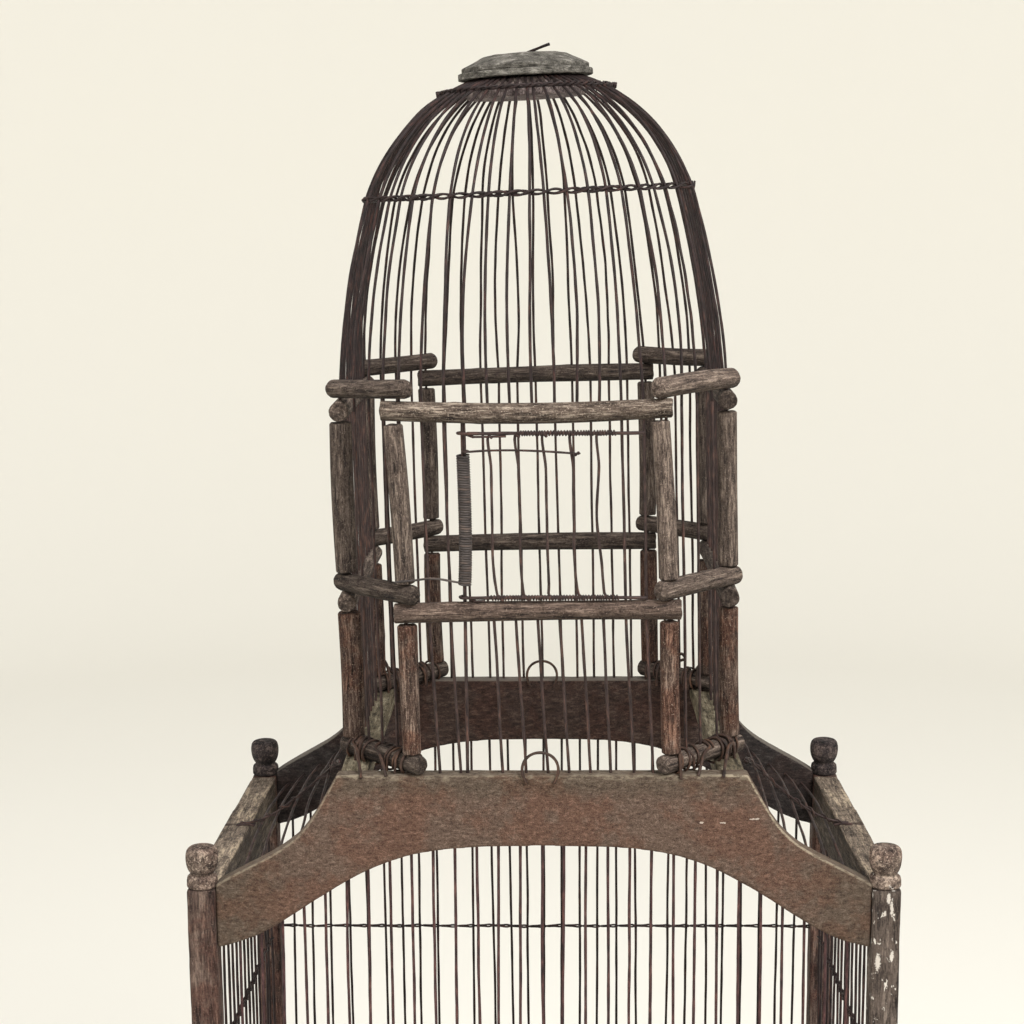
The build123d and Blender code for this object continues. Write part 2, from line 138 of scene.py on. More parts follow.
# ======================= mesh building =======================
class Pile:
    """Faces of many like pieces, gathered into one object.

    The point attribute "grain" holds each point's place within its own piece in millimetres (across,
    across, along) plus the piece's own offset, "cut" is 1 on the ends of a stick, and "tone" is how light
    the stick is beside its neighbours.
    """

    def __init__(self):
        self.points, self.grain, self.cut, self.tone = [], [], [], []
        self.corners, self.sizes, self.count = [], [], 0

    def add(self, points, grain, cut, faces, tone):
        self.points.append(np.asarray(points, float))
        self.grain.append(np.asarray(grain, float))
        self.cut.append(np.asarray(cut, float))
        self.tone.append(np.full(len(points), tone))
        for face in faces:
            face = np.asarray(face, np.int32)
            self.corners.append((face + self.count).ravel())
            self.sizes.append(np.full(len(face), face.shape[1], np.int32))
        self.count += len(points)

    def rings(self, rings, along, cut=None, closed=False, tone=1.0):
        """Skin over rings of points, each of shape (sides, 3); along is each ring's place along the piece."""
        n, sides, _ = rings.shape
        middle = rings.mean(1, keepdims=True)
        reach = norm(rings - middle, axis=2)
        turn = np.linspace(0, 2 * pi, sides, endpoint=False)
        grain = np.stack([reach * np.cos(turn), reach * np.sin(turn),
                          np.broadcast_to(np.asarray(along)[:, None], reach.shape)], 2) / MM
        grain = grain.reshape(-1, 3) + rng.uniform(0, 900, 3)
        cut = np.zeros(n) if cut is None else np.asarray(cut, float)
        index = np.arange(n * sides).reshape(n, sides)
        low, high = (index, np.roll(index, -1, 0)) if closed else (index[:-1], index[1:])
        quads = np.stack([low, np.roll(low, -1, 1), np.roll(high, -1, 1), high], 2).reshape(-1, 4)
        points, faces = rings.reshape(-1, 3), [quads]
        marks = np.repeat(cut, sides)
        if not closed:
            points = np.r_[points, middle[0], middle[-1]]
            grain = np.r_[grain, [grain[:sides].mean(0)], [grain[-sides:].mean(0)]]
            marks = np.r_[marks, cut[0], cut[-1]]
            first, last = index[0], index[-1]
            low_tip, high_tip = np.full(sides, n * sides), np.full(sides, n * sides + 1)
            faces.append(np.stack([np.roll(first, -1), first, low_tip], 1))
            faces.append(np.stack([last, np.roll(last, -1), high_tip], 1))
        self.add(points, grain, marks, faces, tone)

    def tube(self, line, radius, sides=8, closed=False):
        """Round wire along a line."""
        line = np.asarray(line, float)
        across, up = carried_frames(line, closed)
        radius = np.broadcast_to(np.asarray(radius, float), (len(line),))
        turn = np.linspace(0, 2 * pi, sides, endpoint=False)[None]
        rings = line[:, None] + radius[:, None, None] * around(turn, across[:, None], up[:, None])
        along = np.r_[0, np.cumsum(norm(np.diff(line, axis=0), axis=1))]
        self.rings(rings, along, closed=closed)

    def rust(self, line, radius, sides=7, closed=False):
        """Wire with the slight thick and thin of rust."""
        place = np.linspace(0, len(line) * 0.9, len(line))
        uneven = 1 + 0.05 * np.sin(place + rng.uniform(0, 6)) + rng.normal(0, 0.025, len(line))
        self.tube(line, radius * uneven, sides, closed)

    def build(self, material, *replaces, name=None):
        """One object from the pile, standing for CAD nodes and riding with the first of them."""
        name = name or replaces[0] + "_look"
        points = np.concatenate(self.points)
        corners, sizes = np.concatenate(self.corners), np.concatenate(self.sizes)
        mesh = bpy.data.meshes.new(name)
        mesh.vertices.add(len(points))
        mesh.vertices.foreach_set("co", points.astype(np.float32).ravel())
        mesh.loops.add(len(corners))
        mesh.loops.foreach_set("vertex_index", corners)
        mesh.polygons.add(len(sizes))
        mesh.polygons.foreach_set("loop_start", np.r_[0, np.cumsum(sizes)[:-1]].astype(np.int32))
        mesh.update(calc_edges=True)
        for label, kind, key, rows in (("grain", "FLOAT_VECTOR", "vector", self.grain),
                                       ("cut", "FLOAT", "value", self.cut),
                                       ("tone", "FLOAT", "value", self.tone)):
            attribute = mesh.attributes.new(label, kind, "POINT")
            attribute.data.foreach_set(key, np.concatenate(rows).astype(np.float32).ravel())
        mesh.shade_smooth()
        settle(name, mesh, material, replaces)


def settle(name, mesh, material, replaces):
    piece = bpy.data.objects.new(name, mesh)
    scene.collection.objects.link(piece)
    mesh.materials.clear()
    mesh.materials.append(material)
    like = replaces[0]
    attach(piece, body_of[like])
    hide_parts(*replaces)


def carried_frames(line, closed=False):
    """Two directions across a line at each of its points, carried along without twist."""
    tangent = (np.roll(line, -1, 0) - np.roll(line, 1, 0)) if closed else np.gradient(line, axis=0)
    tangent /= norm(tangent, axis=1, keepdims=True)
    across = np.empty_like(line)
    start = np.eye(3)[np.abs(tangent[0]).argmin()]
    across[0] = unit(start - tangent[0] * (start @ tangent[0]))
    for k in range(1, len(line)):
        across[k] = unit(across[k - 1] - tangent[k] * (across[k - 1] @ tangent[k]))
    return across, np.cross(tangent, across)


def crooked(line, step, amount, pinned=(True, True)):
    """A line with the slight waves of hand-straightened old wire, which die away at its pinned ends."""
    line = resample(line, step)
    across, up = carried_frames(line)
    t = np.linspace(0, 1, len(line))
    length = norm(np.diff(line, axis=0), axis=1).sum()
    hold = np.ones(len(t))
    if pinned[0]:
        hold *= np.clip(t * 6, 0, 1)
    if pinned[1]:
        hold *= np.clip((1 - t) * 6, 0, 1)
    for direction in (across, up):
        wave = np.zeros(len(t))
        for size, spacing in ((1, 0.16), (0.45, 0.07), (0.2, 0.03)):
            wave += size * rng.normal() * np.sin(2 * pi * (t * length / spacing + rng.uniform()))
        line = line + direction * (wave * hold * amount)[:, None]
    return line


# ======================= materials =======================
class Value:
    """A number that varies over the surface: a node's output, with plain arithmetic."""

    def __init__(self, shade, output):
        self.shade, self.output = shade, output

    def math(self, operation, other=0.0):
        made = self.shade.node("Math", {0: self, 1: other}, operation=operation)
        return Value(self.shade, made.outputs["Value"])

    def __add__(self, other):
        return self.math("ADD", other)

    def __mul__(self, other):
        return self.math("MULTIPLY", other)

    def __abs__(self):
        return self.math("ABSOLUTE")

    def band(self, low, high, at_low=0.0, at_high=1.0):
        """The stretch from low to high, spread smoothly over a new range and held at its ends."""
        made = self.shade.node("MapRange", {"Value": self, "From Min": low, "From Max": high,
                                            "To Min": at_low, "To Max": at_high},
                               interpolation_type="SMOOTHSTEP")
        return Value(self.shade, made.outputs["Result"])


class Shade:
    """Short words for building one node material."""

    def __init__(self, name, metallic, specular):
        self.material = bpy.data.materials.new(name)
        self.material.use_nodes = True
        self.tree = self.material.node_tree
        self.set("Metallic", metallic)
        self.set("Specular IOR Level", specular)

    def put(self, value, socket):
        """Give a socket a number, a colour, a vector or another node's output."""
        if isinstance(value, (int, float)):
            socket.default_value = value
        elif isinstance(value, tuple):
            socket.default_value = (*value, 1) if socket.type == "RGBA" else value
        else:
            self.tree.links.new(value.output if isinstance(value, Value) else value, socket)

    def set(self, key, value):
        self.put(value, self.tree.nodes["Principled BSDF"].inputs[key])

    def node(self, kind, inputs=None, **settings):
        made = self.tree.nodes.new("ShaderNode" + kind)
        for key, value in settings.items():
            setattr(made, key, value)
        for key, value in (inputs or {}).items():
            self.put(value, made.inputs[key])
        return made

    def place(self, own_grain):
        """Coordinates in millimetres: the piece's own grain, or the object's."""
        if own_grain:
            return self.node("Attribute", attribute_name="grain").outputs["Vector"]
        return self.stretch(self.node("TexCoord").outputs["Object"], (1 / MM, 1 / MM, 1 / MM))

    def mark(self, name):
        """A number kept at each point of the mesh."""
        return Value(self, self.node("Attribute", attribute_name=name).outputs["Fac"])

    def stretch(self, place, scale, shift=(0, 0, 0)):
        made = self.node("Mapping", {"Vector": place, "Scale": scale, "Location": shift})
        return made.outputs["Vector"]

    def noise(self, place, size, detail=3.0, rough=0.55, warp=0.0):
        made = self.node("TexNoise", {"Vector": place, "Scale": 1 / size, "Detail": detail,
                                      "Roughness": rough, "Distortion": warp})
        return Value(self, made.outputs["Fac"])

    def axis(self, vector, which):
        return Value(self, self.node("SeparateXYZ", {"Vector": vector}).outputs[which])

    def blend(self, share, a, b, mode="MIX"):
        made = self.node("Mix", {"Factor": share, "A": a, "B": b}, data_type="RGBA", blend_type=mode)
        return next(output for output in made.outputs if output.type == "RGBA")

    def tinted(self, colour, tint):
        return self.blend(1.0, colour, tint, "MULTIPLY")

    def ramp(self, value, *stops):
        made = self.node("ValToRGB", {"Fac": value})
        points = made.color_ramp.elements
        while len(points) < len(stops):
            points.new(0.5)
        for point, (at, colour) in zip(points, stops):
            point.position, point.color = at, (*colour, 1)
        return made.outputs["Color"]

    def normal(self, which):
        return self.axis(self.node("NewGeometry").outputs["Normal"], which)

    def faces_up(self, low=0.4, high=0.8, least=0.0):
        """1 where the surface faces upward."""
        return self.normal("Z").band(low, high, least)

    def arris(self):
        """1 along the worn front edge of the top, where the surface turns from up to forward."""
        forward = self.normal("Y") * -1
        return forward.band(0.12, 0.35) * forward.band(0.97, 0.85) * self.normal("Z").band(0.10, 0.30)

    def spot(self, place, centre, reach):
        """1 inside a small patch of the given half sizes, with a ragged edge."""
        shift = tuple(-c / r for c, r in zip(centre, reach))
        shifted = self.stretch(place, tuple(1 / r for r in reach), shift)
        length = self.node("VectorMath", {0: shifted}, operation="LENGTH").outputs["Value"]
        return (Value(self, length) + self.noise(place, 1.6, detail=5, rough=0.75) * 2.6).band(2.2, 2.0)

    def relief(self, height, strength, distance):
        made = self.node("Bump", {"Height": height, "Strength": strength, "Distance": distance})
        self.set("Normal", made.outputs["Normal"])


def hue(r, g, b):
    """A linear colour from screen values, 0 to 255."""
    return tuple(((c / 255 + 0.055) / 1.055) ** 2.4 for c in (r, g, b))


def old_wood(name, dark, middle, light, grain, own_grain=False, tint=None, grime=0.5, fleck=0.6, paint=None,
             wear_and_light=None):
    """Weathered wood. grain is how far a streak runs along X, Y and Z in millimetres. tint colours it in
    patches, grime and fleck are the strength of its dirt and pale fibres, paint is how rare flecks of white
    paint are, and the wear function adds the marks of one kind of piece, with painted light on the tops of
    the boards and rails. A piece with its own grain also gets painted shade on the faces that look down."""
    dark, middle, light = hue(*dark), hue(*middle), hue(*light)
    shade = Shade(name, metallic=0.0, specular=0.2)
    place = shade.place(own_grain)
    run = shade.stretch(place, tuple(1 / g for g in grain))
    # Broad streaks, then fine fibres: dark grooves between pale raised ones.
    streaks = shade.noise(run, 1.6, detail=6, rough=0.7, warp=0.2)
    wood = shade.ramp(streaks, (0.38, dark), (0.47, middle), (0.53, middle), (0.62, light))
    fibres = shade.noise(run, 0.42, detail=5, rough=0.8)
    groove, pale = tuple(c * 0.45 for c in dark), tuple(min(1.0, c * 1.25) for c in light)
    wood = shade.blend(fibres.band(0.50, 0.36, 0, 0.85), wood, groove)
    wood = shade.blend(fibres.band(0.54, 0.68, 0, fleck), wood, pale)
    if tint:
        patches = shade.noise(place, 30, detail=5, rough=0.65)
        wood = shade.blend(patches.band(0.44, 0.58), wood, shade.tinted(wood, tint))
    dirt = shade.noise(place, 9, detail=6, rough=0.72)
    wood = shade.blend(dirt.band(0.50, 0.64, 0, grime), wood, shade.tinted(wood, (0.36, 0.35, 0.36)))
    pits = shade.noise(place, 1.1, detail=3, rough=0.7)
    wood = shade.blend(pits.band(0.60, 0.68, 0, fleck), wood, pale)
    wood = shade.blend(pits.band(0.42, 0.34, 0, 0.7), wood, groove)
    if paint:
        flecks = shade.noise(shade.stretch(place, (1, 1, 0.55)), 5.5, detail=5, rough=0.68)
        wood = shade.blend(flecks.band(paint, paint + 0.02), wood, hue(205, 198, 188))
    if wear_and_light:
        wood = wear_and_light(shade, place, wood)
    if own_grain:
        end_grain = shade.noise(place, 2.2, detail=4, rough=0.7)
        end = shade.ramp(end_grain, (0.38, dark), (0.55, middle), (0.66, light))
        wood = shade.blend(shade.mark("cut") * 0.8, wood, end)
        # Each stick's own tone, and painted shade: faces that look down are darkened to 0.45 of their colour.
        wood = shade.tinted(wood, shade.mark("tone") * shade.faces_up(-1.0, 0.35, 0.45))
    shade.set("Base Color", wood)
    shade.set("Roughness", dirt.band(0.3, 0.75, 0.7, 0.95))
    shade.relief(streaks + fibres * 0.7 + pits * 0.5, 0.8, 1.6 * MM)
    return shade.material


def rusty_iron(name, dark, middle, rust, amount):
    """Brown wire. amount is how much of it the rust covers."""
    dark, middle, rust = hue(*dark), hue(*middle), hue(*rust)
    shade = Shade(name, metallic=0.25, specular=0.35)
    place = shade.place(own_grain=True)
    patches = shade.noise(shade.stretch(place, (1, 1, 0.16)), 2.6, detail=4, rough=0.6)
    fine = shade.noise(place, 0.7)
    long_spots = shade.noise(shade.stretch(place, (1, 1, 0.35)), 3.2, detail=5, rough=0.65)
    iron = shade.ramp(long_spots, (0.36, dark), (0.56, middle), (0.72, rust))
    iron = shade.blend(patches.band(0.62 - 0.2 * amount, 0.78 - 0.2 * amount, 0, 0.8), iron, rust)
    iron = shade.blend(fine.band(0.62, 0.75, 0, 0.35), iron, tuple(c * 1.7 for c in rust))
    shade.set("Base Color", iron)
    shade.set("Roughness", patches.band(0.35, 0.7, 0.5, 0.85))
    shade.relief(fine + shade.noise(place, 1.6), 0.5, 0.3 * MM)
    return shade.material


def board_wear_and_top_light(shade, place, wood):
    """Grey-green weathering along the top of the board and at its ends, its bare edges and nicks, and a top
    face made lighter: partly bare patches, partly painted light from above.
    """
    low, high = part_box("front_board")
    top, end = high.z / MM, high.x / MM
    z, x = shade.axis(place, "Z"), shade.axis(place, "X")
    ragged = shade.noise(shade.stretch(place, (0.5, 1, 1)), 9, detail=5, rough=0.7) * 26
    grey = shade.tinted(wood, (0.80, 0.88, 0.86))
    wood = shade.blend((z + ragged).band(top - 7, top + 6, 0, 0.9), wood, grey)
    wood = shade.blend((abs(x) + ragged * 1.6).band(end - 44, end + 2, 0, 0.85), wood, grey)
    paler = shade.noise(shade.stretch(place, (0.4, 1, 1)), 2.4, detail=4, rough=0.7)
    edge = z.band(top - 7, top - 0.5) * paler.band(0.50, 0.60)
    wood = shade.blend(edge * 0.4, wood, hue(160, 148, 128))
    # Partly painted light: the up-facing top is made a little lighter everywhere, as if lit from above, and
    # more in bare patches.
    wood = shade.blend(shade.faces_up() * paler.band(0.40, 0.56, 0.1, 0.6), wood, hue(118, 106, 92))
    shoulder = abs(x).band(112, 126, 0.2, 0.75) * (x.band(150, 215, 1, 0.5) * x.band(-60, 60, 0.5, 1))
    wood = shade.blend(shade.arris() * shoulder * paler.band(0.40, 0.52, 0.3, 1), wood, hue(176, 163, 140))
    # Two white nicks and a pale scratch on the right.
    for across, below, reach in ((105.5, 32.6, (1.7, 3, 0.8)), (120.1, 32.8, (2.3, 3, 0.7)),
                                 (141, 30.2, (4.4, 3, 0.7))):
        nick = shade.spot(place, (across, low.y / MM, top - below), reach)
        wood = shade.blend(nick * 0.75, wood, hue(206, 192, 178))
    return wood


def rear_wear_and_top_light(shade, place, wood):
    """Darker, bluish shoulders, and a painted highlight: a pale line along the top, on the faces that look up.
    """
    ragged = shade.noise(place, 14, detail=4) * 30
    shoulders = (abs(shade.axis(place, "X")) + ragged).band(128, 158, 0, 0.9)
    wood = shade.blend(shoulders, wood, shade.tinted(wood, (0.62, 0.82, 0.98)))
    # Painted highlight: faces that look up are made paler, as if lit from above.
    return shade.blend(shade.faces_up() * 0.6, wood, hue(128, 120, 110))


def post_paint(shade, place, wood):
    """Bare streaks of old white paint near the top of the right front post."""
    low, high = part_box("corner_post_front_right")
    for across, below, reach in ((10.5, 5.5, (1.6, 3, 4.5)), (12.6, 12, (1.3, 3, 6.5)),
                                 (8.2, 16, (1.2, 3, 2.2)), (4.2, 50, (2.2, 3, 6.5)), (13.5, 45, (1.6, 3, 4))):
        patch = shade.spot(place, (low.x / MM + across, low.y / MM, high.z / MM - below), reach)
        wood = shade.blend(patch * 0.9, wood, hue(204, 196, 186))
    return wood


def rail_wear_and_top_light(shade, place, wood):
    """A top face made much lighter, as painted light from above, and the rust stain of the tie half way along.
    """
    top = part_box("side_rail_left")[1].z / MM
    # Painted light: the top face is brightened 2.6 times, as if lit from above.
    paler = shade.axis(place, "Z").band(top - 2.0, top - 0.8)
    wood = shade.blend(paler, wood, shade.tinted(wood, (2.6, 2.65, 2.6)))
    spots = shade.noise(place, 4.5, detail=5, rough=0.7)
    wood = shade.blend(spots.band(0.52, 0.60, 0, 0.5), wood, hue(72, 62, 54))
    from_middle = abs(shade.axis(place, "Y") + shade.noise(place, 5, detail=4) * 8 + -4)
    return shade.blend(from_middle.band(3.4, 1.2, 0, 0.85), wood, hue(50, 36, 32))


# Colours are screen values, dark to light.
ALONG_X, ALONG_Y, ALONG_Z = (26, 3.2, 3.2), (3.2, 26, 3.2), (3.2, 3.2, 26)
BARK, TURNED = (1.35, 1.35, 13), (5, 5, 5)
stick_wood = old_wood("stick_wood", (45, 38, 35), (91, 78, 70), (147, 131, 118), BARK, True, fleck=0.7)
pale_stick = old_wood("pale_stick", (46, 38, 33), (98, 84, 74), (172, 157, 141), BARK, True,
                      grime=0.45, fleck=0.9)
brown_stick = old_wood("brown_stick", (36, 26, 22), (84, 66, 57), (146, 126, 112), BARK, True,
                       tint=(0.92, 0.70, 0.62), fleck=0.9)
soft_stick = old_wood("soft_stick", (43, 35, 31), (94, 78, 69), (143, 124, 111), BARK, True,
                      grime=0.6, fleck=0.8)
front_wood = old_wood("board_wood", (74, 58, 49), (97, 79, 68), (122, 103, 90), (2.4, 1.1, 1.1),
                      tint=(1.04, 0.86, 0.80), grime=0.12, fleck=0.5, wear_and_light=board_wear_and_top_light)
rear_wood = old_wood("dark_board_wood", (39, 30, 27), (62, 48, 42), (87, 71, 63), (4, 1.6, 1.6),
                     tint=(1.0, 0.84, 0.80), grime=0.3, fleck=0.35, wear_and_light=rear_wear_and_top_light)
post_wood = old_wood("post_wood", (44, 34, 31), (82, 66, 59), (122, 104, 93), ALONG_Z,
                     tint=(0.98, 0.78, 0.74))
painted_post = old_wood("painted_post", (44, 37, 34), (86, 75, 68), (124, 111, 101), ALONG_Z,
                        grime=0.4, fleck=0.5, paint=0.61, wear_and_light=post_paint)
rail_wood = old_wood("rail_wood", (40, 34, 30), (76, 66, 58), (120, 107, 92), ALONG_Y, wear_and_light=rail_wear_and_top_light)
sill_wood = old_wood("sill_wood", (48, 43, 33), (104, 94, 76), (150, 140, 118), ALONG_Y)
finial_wood = old_wood("finial_wood", (49, 40, 37), (110, 94, 84), (184, 166, 149), TURNED, True,
                       tint=(0.86, 0.80, 0.80), grime=0.75, fleck=0.9, paint=0.66)
dark_finial = old_wood("dark_finial", (24, 22, 23), (58, 50, 49), (108, 94, 88), TURNED, True,
                       grime=0.75, fleck=0.8)
cap_wood = old_wood("cap_wood", (62, 59, 54), (99, 95, 88), (150, 145, 137), (9, 3, 2), fleck=0.35)
hub_wood = old_wood("hub_wood", (58, 50, 49), (106, 94, 92), (165, 150, 146), (3, 3, 5), grime=0.4, fleck=0.4)
base_wood = old_wood("base_wood", (46, 35, 30), (82, 65, 56), (120, 101, 88), ALONG_X,
                     tint=(1.0, 0.80, 0.70), grime=0.55)
stand_wood_x = old_wood("stand_wood_x", (44, 34, 29), (80, 65, 56), (120, 103, 90), ALONG_X,
                        tint=(1.0, 0.82, 0.74))
stand_wood_z = old_wood("stand_wood_z", (42, 33, 29), (78, 64, 56), (118, 102, 90), ALONG_Z,
                        tint=(1.0, 0.82, 0.74))

dark_iron = rusty_iron("dark_iron", (24, 18, 18), (46, 34, 33), (80, 55, 49), 0.25)
brown_iron = rusty_iron("brown_iron", (34, 25, 24), (60, 46, 43), (96, 70, 61), 0.35)
red_iron = rusty_iron("red_iron", (34, 25, 22), (66, 49, 41), (104, 76, 60), 0.45)
plum_iron = rusty_iron("plum_iron", (34, 22, 24), (70, 46, 46), (108, 74, 68), 0.35)
spring_iron = rusty_iron("spring_iron", (46, 41, 40), (78, 71, 68), (104, 89, 81), 0.4)


# ======================= sticks =======================
def stick(pile, line, radius, rounding, bow, bow_to, tone):
    """A peeled branch: slightly bent and ridged, with cut ends rounded over. The rounding of its two ends and
    its bow are in millimetres."""
    step, sides = 2 * MM, 40
    start, end = line[0], line[-1]
    axis, length = unit(end - start), norm(end - start)
    side = unit(np.cross(axis, rng.normal(size=3)) if bow_to is None else bow_to)
    side = unit(side - axis * (side @ axis))
    places, shares, cuts = [], [], []
    for low, size in zip((True, False), rounding):
        turn = np.linspace(0, pi / 2, 6)
        flat = 1 - size * MM / radius
        reach = np.r_[flat * 0.35, flat * 0.7, flat + (1 - flat) * np.sin(turn)]
        deep = np.r_[0, 0, size * MM * 0.9 * (1 - np.cos(turn))]
        mark = np.r_[1, 1, 1, 0.6, np.zeros(4)]
        if low:
            places, shares, cuts = [deep], [reach], [mark]
        else:
            inner = np.arange(places[0][-1] + step, length - deep[-1] - step * 0.5, step)
            places += [inner, length - deep[::-1]]
            shares += [np.ones(len(inner)), reach[::-1]]
            cuts += [np.zeros(len(inner)), mark[::-1]]
    place, share, cut = (np.concatenate(v) for v in (places, shares, cuts))
    turn = np.linspace(0, 2 * pi, sides, endpoint=False)[None]
    s = place[:, None]
    ridge = np.zeros((len(place), sides))
    for waves, size in ((1, 0.16), (2, 0.22), (3, 0.14), (5, 0.07), (8, 0.055), (11, 0.06), (13, 0.045)):
        drift = 0.9 * np.sin(s / rng.uniform(0.02, 0.05) + rng.uniform(0, 6)) + rng.uniform(0, 6)
        ridge += size * rng.uniform(0.5, 1.2) * np.sin(waves * turn + drift)
    knot_spacing = 0.045
    for _ in range(int(length / knot_spacing)):
        where, angle, size = rng.uniform(0, length), rng.uniform(0, 2 * pi), rng.uniform(0.25, 0.6)
        ridge += size * np.exp(-((s - where) / (4 * MM)) ** 2 + 6 * (np.cos(turn - angle) - 1))
    swell = 1 + 0.03 * np.sin(s / rng.uniform(0.03, 0.06) + rng.uniform(0, 6))
    reach = (radius * swell + ridge * MM) * share[:, None]
    bent = bow * MM * np.sin(pi * place / length)
    middle = start + axis * place[:, None] + side * bent[:, None]
    chip = 0.35 * MM * np.sin(3 * turn + rng.uniform(0, 6)) * (cut[:, None] > 0.5)
    rings = (middle[:, None] + reach[..., None] * around(turn, side, np.cross(axis, side))
             + axis * chip[..., None])
    pile.rings(rings, place, cut, tone=tone)


def stick_piece(name, material, rounding, bow, tones, bow_to=None, outer_left=1.0):
    """All sticks of one CAD node. A stick's corner of the tower is "fl" for front left and so on, with "o"
    after it for the post on the outer side. tones says how light each is, outer_left how thick "flo" is."""
    pile = Pile()
    for line in lines(name, STICK):
        x, y, _ = line.mean(0)
        corner = ("f" if y < 0 else "r") + ("l" if x < 0 else "r")
        if "posts" in name and abs(x) > abs(y):
            corner += "o"
        radius = STICK / 2 * (outer_left if corner == "flo" else 1.0)
        stick(pile, line, radius, rounding, bow, bow_to, tones.get(corner, 0.7 if y > 0 else 1.0))
    pile.build(material, name)


for side in ("front", "rear", "left", "right"):
    for level, at_front in (("mid", soft_stick), ("top", pale_stick)):
        name = f"{level}_log_{side}"
        bow = -2.6 if name == "top_log_front" else 0.7
        material = at_front if side == "front" else stick_wood
        stick_piece(name, material, (1.2, 1.0), bow, {"rl": 0.62, "rr": 0.62}, bow_to=UP)
stick_piece("base_diagonals", stick_wood, (3.2, 3.2), 0.6, {"fl": 0.55})
stick_piece("mid_diagonals", stick_wood, (4.6, 4.6), 0.7, {"fl": 0.55, "fr": 1.05})
stick_piece("top_diagonals", stick_wood, (5.0, 5.0), 0.8, {"fl": 0.85, "fr": 1.3})
stick_piece("lower_posts", brown_stick, (1.0, 1.6), 0.7, {"flo": 0.84, "fro": 0.96}, outer_left=1.14)
stick_piece("upper_posts", stick_wood, (1.0, 1.6), 0.8, {"fr": 1.2, "flo": 0.78}, outer_left=1.14)


# ======================= squared wood =======================
def worn(name, material, voxel, chips, ease):
    """Old squared timber: the CAD solid, its edges worn round and its faces uneven. Sizes in millimetres."""
    lumps = 0.25
    source = bpy.data.objects.new("source", nodes[name].data.copy())
    scene.collection.objects.link(source)
    remesh = source.modifiers.new("grid", "REMESH")
    remesh.mode, remesh.voxel_size = "VOXEL", voxel * MM
    smooth = source.modifiers.new("ease", "SMOOTH")
    smooth.factor, smooth.iterations = 0.5, ease
    bpy.context.view_layer.update()
    mesh = bpy.data.meshes.new_from_object(source.evaluated_get(bpy.context.evaluated_depsgraph_get()))
    bpy.data.objects.remove(source)
    mesh.name = name + "_look"
    count = len(mesh.vertices)
    co, normal = np.empty(count * 3, np.float32), np.empty(count * 3, np.float32)
    mesh.vertices.foreach_get("co", co)
    mesh.vertex_normals.foreach_get("vector", normal)
    co, normal = co.reshape(-1, 3), normal.reshape(-1, 3)
    shift = Vector(rng.uniform(0, 50, 3))
    push = np.empty(count, np.float32)
    for k in range(count):
        p = Vector(co[k])
        push[k] = (lumps * noise.noise(p * 38 + shift) + 0.45 * lumps * noise.noise(p * 130 + shift)
                   - chips * max(0.0, noise.noise(p * 70 + shift) - 0.25))
    co += normal * (push * MM)[:, None]
    mesh.vertices.foreach_set("co", co.ravel())
    mesh.update()
    mesh.shade_smooth()
    settle(name + "_look", mesh, material, (name,))


for name, material, voxel, chips in (
        ("front_board", front_wood, 1.3, 0.5), ("rear_board", rear_wood, 1.6, 0.4),
        ("corner_post_front_left", post_wood, 1.4, 0.4), ("corner_post_rear_left", post_wood, 1.4, 0.4),
        ("corner_post_rear_right", post_wood, 1.4, 0.4), ("corner_post_front_right", painted_post, 1.4, 0.4),
        ("side_rail_left", rail_wood, 1.4, 0.7), ("tower_sill_left", sill_wood, 1.2, 0.5),
        ("side_rail_right", rail_wood, 1.4, 0.7), ("tower_sill_right", sill_wood, 1.2, 0.5),
        ("cap_top", cap_wood, 0.8, 0.5), ("cap_base", cap_wood, 0.8, 0.5), ("hub", hub_wood, 1.2, 0.4),
        ("floor_board", base_wood, 3.0, 0.0), ("base_rail_front", base_wood, 2.0, 0.3),
        ("base_rail_rear", base_wood, 2.0, 0.3), ("tray", base_wood, 2.0, 0.3),
        ("base_rails_side", rail_wood, 2.0, 0.3), ("stand_top", stand_wood_x, 2.5, 0.4),
        ("stand_rails", stand_wood_x, 2.5, 0.3), ("shelf_slats", stand_wood_x, 2.2, 0.4),
        ("stand_legs", stand_wood_z, 2.5, 0.4)):
    worn(name, material, voxel, chips, ease=1 if name.startswith("cap") else 3)


# ======================= turned wood =======================
def lathed(name, foot, axis, profile, material):
    """A turned piece, a little out of round. Its profile is (radius, height) in millimetres."""
    sides, lumps, pile = 48, 0.22, Pile()
    profile = np.asarray(profile, float)
    fine = resample(np.c_[profile, np.zeros(len(profile))], 0.7)
    axis = unit(axis)
    across = unit(np.cross(axis, (0.31, 0.95, 0.1)))
    turn = np.linspace(0, 2 * pi, sides, endpoint=False)[None]
    reach, along = fine[:, 0][:, None], fine[:, 1][:, None]
    bumps = np.zeros((len(fine), sides))
    for waves, size in ((1, 1.0), (2, 0.8), (3, 0.5), (5, 0.3), (9, 0.16)):
        bumps += size * rng.uniform(0.4, 1) * np.sin(
            waves * turn + along / rng.uniform(4, 9) + rng.uniform(0, 6))
    reach = np.maximum(reach + lumps * bumps * np.clip(reach / 6, 0, 1), 0.02) * MM
    rings = (np.asarray(foot, float) + axis * (along * MM)[..., None]
             + reach[..., None] * around(turn, across, np.cross(axis, across)))
    pile.rings(rings, fine[:, 1] * MM)
    pile.build(material, name)


